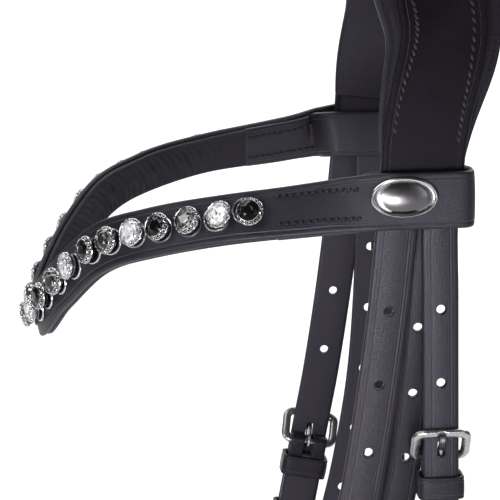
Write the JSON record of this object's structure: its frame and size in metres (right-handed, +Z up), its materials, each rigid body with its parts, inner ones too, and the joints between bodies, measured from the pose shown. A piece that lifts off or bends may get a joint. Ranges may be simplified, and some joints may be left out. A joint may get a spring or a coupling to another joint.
{
  "type": "snaffle bridle",
  "caption": "Snaffle bridle for a horse: padded headpiece, stone-set browband, buckled cheekpieces, noseband and throatlash, and a loose-ring jointed bit.",
  "frame": {"origin": "underside of the poll pad, at the middle of the headpiece, where the bridle rests on the horse's poll", "axes": "+Z up, the horse faces -Y, +X is the horse's left side"},
  "size_m": [0.1684, 0.1883, 0.5739],
  "materials": {
    "black_leather": "semi-matt black bridle leather, fine grain",
    "lining_leather": "matt black soft lining leather",
    "stainless_steel": "satin stainless steel",
    "stone_settings": "bright silver lace cups with black, clear and smoky faceted glass stones",
    "polished_trim": "polished metal"
  },
  "bodies": {
    "headpiece": {"headpiece_strap": "black_leather", "headpiece_pad": "lining_leather"},
    "browband": {"browband_strap": "black_leather", "browband_lining": "lining_leather", "badge_left": "polished_trim", "badge_right": "polished_trim", "stones_centre": "stone_settings", "stones_left_1": "stone_settings", "stones_left_2": "stone_settings", "stones_left_3": "stone_settings", "stones_left_4": "stone_settings", "stones_right_1": "stone_settings", "stones_right_2": "stone_settings", "stones_right_3": "stone_settings", "stones_right_4": "stone_settings"},
    "cheeks": {"cheek_billet_left": "black_leather", "cheek_billet_right": "black_leather", "cheek_strap_left": "black_leather", "cheek_strap_right": "black_leather", "cheek_buckle_left": "stainless_steel", "cheek_buckle_right": "stainless_steel", "cheek_keeper_left": "black_leather", "cheek_keeper_right": "black_leather"},
    "noseband": {"noseband_billet_left": "black_leather", "noseband_billet_right": "black_leather", "noseband_hanger_left": "black_leather", "noseband_hanger_right": "black_leather", "noseband_buckle_left": "stainless_steel", "noseband_buckle_right": "stainless_steel", "noseband_keeper_left": "black_leather", "noseband_keeper_right": "black_leather", "nosepiece": "black_leather", "nose_pad": "lining_leather", "chin_strap": "black_leather", "chin_buckle": "stainless_steel", "chin_keeper": "black_leather"},
    "throatlash": {"throat_billet_left": "black_leather", "throat_billet_right": "black_leather", "throat_buckle_left": "stainless_steel", "throat_buckle_right": "stainless_steel", "throat_keeper_left": "black_leather", "throat_keeper_right": "black_leather", "throat_strap": "black_leather"},
    "mouthpiece": {"bit_cannon_left": "stainless_steel", "bit_cannon_right": "stainless_steel"},
    "chin_tongue": {"chin_tongue": "stainless_steel"},
    "cheek_tongue_left": {"cheek_tongue_left": "stainless_steel"},
    "cheek_runner_left": {"cheek_runner_left": "black_leather"},
    "bit_ring_left": {"bit_ring_left": "stainless_steel"},
    "noseband_tongue_left": {"noseband_tongue_left": "stainless_steel"},
    "throat_tongue_left": {"throat_tongue_left": "stainless_steel"},
    "throat_runner_left": {"throat_runner_left": "black_leather"},
    "cheek_tongue_right": {"cheek_tongue_right": "stainless_steel"},
    "cheek_runner_right": {"cheek_runner_right": "black_leather"},
    "bit_ring_right": {"bit_ring_right": "stainless_steel"},
    "noseband_tongue_right": {"noseband_tongue_right": "stainless_steel"},
    "throat_tongue_right": {"throat_tongue_right": "stainless_steel"},
    "throat_runner_right": {"throat_runner_right": "black_leather"}
  },
  "joints": [
    {"name": "browband_slide", "type": "slide", "parent": "headpiece", "child": "browband", "axis": [0, 0, 1], "range_m": [-0.006, 0.002]},
    {"name": "cheeks_swing", "type": "hinge", "parent": "headpiece", "child": "cheeks", "pos_m": [0, -0.0136, -0.10464], "axis": [1, 0, 0], "range_deg": [-6, 4]},
    {"name": "noseband_swing", "type": "hinge", "parent": "headpiece", "child": "noseband", "pos_m": [0, -0.006, -0.10464], "axis": [1, 0, 0], "range_deg": [-6, 4]},
    {"name": "throatlash_swing", "type": "hinge", "parent": "headpiece", "child": "throatlash", "pos_m": [0, 0.0004, -0.10464], "axis": [1, 0, 0], "range_deg": [0, 12]},
    {"name": "cheek_tongue_left_pivot", "type": "hinge", "parent": "cheeks", "child": "cheek_tongue_left", "pos_m": [0.0707, -0.0324, -0.22964], "axis": [0, 0.9806, -0.1961], "range_deg": [0, 6]},
    {"name": "noseband_tongue_left_pivot", "type": "hinge", "parent": "noseband", "child": "noseband_tongue_left", "pos_m": [0.0559, -0.0294, -0.27864], "axis": [0, 0.9617, -0.2741], "range_deg": [0, 6]},
    {"name": "throat_tongue_left_pivot", "type": "hinge", "parent": "throatlash", "child": "throat_tongue_left", "pos_m": [0.0707, 0.0002, -0.19614], "axis": [0, 1, 0], "range_deg": [0, 6]},
    {"name": "cheek_runner_left_slide", "type": "slide", "parent": "cheeks", "child": "cheek_runner_left", "axis": [0, -0.1961, -0.9806], "range_m": [-0.01, 0.008]},
    {"name": "throat_runner_left_slide", "type": "slide", "parent": "throatlash", "child": "throat_runner_left", "axis": [0, 0, -1], "range_m": [-0.01, 0.012]},
    {"name": "bit_ring_left_turn", "type": "hinge", "parent": "cheeks", "child": "bit_ring_left", "pos_m": [0.06826, -0.10306, -0.52165], "axis": [1, 0, 0], "continuous": true},
    {"name": "cheek_tongue_right_pivot", "type": "hinge", "parent": "cheeks", "child": "cheek_tongue_right", "pos_m": [-0.0707, -0.0324, -0.22964], "axis": [0, -0.9806, 0.1961], "range_deg": [0, 6]},
    {"name": "noseband_tongue_right_pivot", "type": "hinge", "parent": "noseband", "child": "noseband_tongue_right", "pos_m": [-0.0559, -0.0294, -0.27864], "axis": [0, -0.9617, 0.2741], "range_deg": [0, 6]},
    {"name": "throat_tongue_right_pivot", "type": "hinge", "parent": "throatlash", "child": "throat_tongue_right", "pos_m": [-0.0707, 0.0002, -0.19614], "axis": [0, -1, 0], "range_deg": [0, 6]},
    {"name": "cheek_runner_right_slide", "type": "slide", "parent": "cheeks", "child": "cheek_runner_right", "axis": [0, -0.1961, -0.9806], "range_m": [-0.01, 0.008]},
    {"name": "throat_runner_right_slide", "type": "slide", "parent": "throatlash", "child": "throat_runner_right", "axis": [0, 0, -1], "range_m": [-0.01, 0.012]},
    {"name": "bit_ring_right_turn", "type": "hinge", "parent": "cheeks", "child": "bit_ring_right", "pos_m": [-0.06826, -0.10306, -0.52165], "axis": [1, 0, 0], "continuous": true},
    {"name": "mouthpiece_swing", "type": "hinge", "parent": "cheeks", "child": "mouthpiece", "pos_m": [0, -0.10306, -0.52165], "axis": [1, 0, 0], "range_deg": [-40, 40]},
    {"name": "chin_tongue_pivot", "type": "hinge", "parent": "noseband", "child": "chin_tongue", "pos_m": [0.04344, -0.022, -0.43419], "axis": [0, -0.342, -0.9397], "range_deg": [0, 6]}
  ]
}
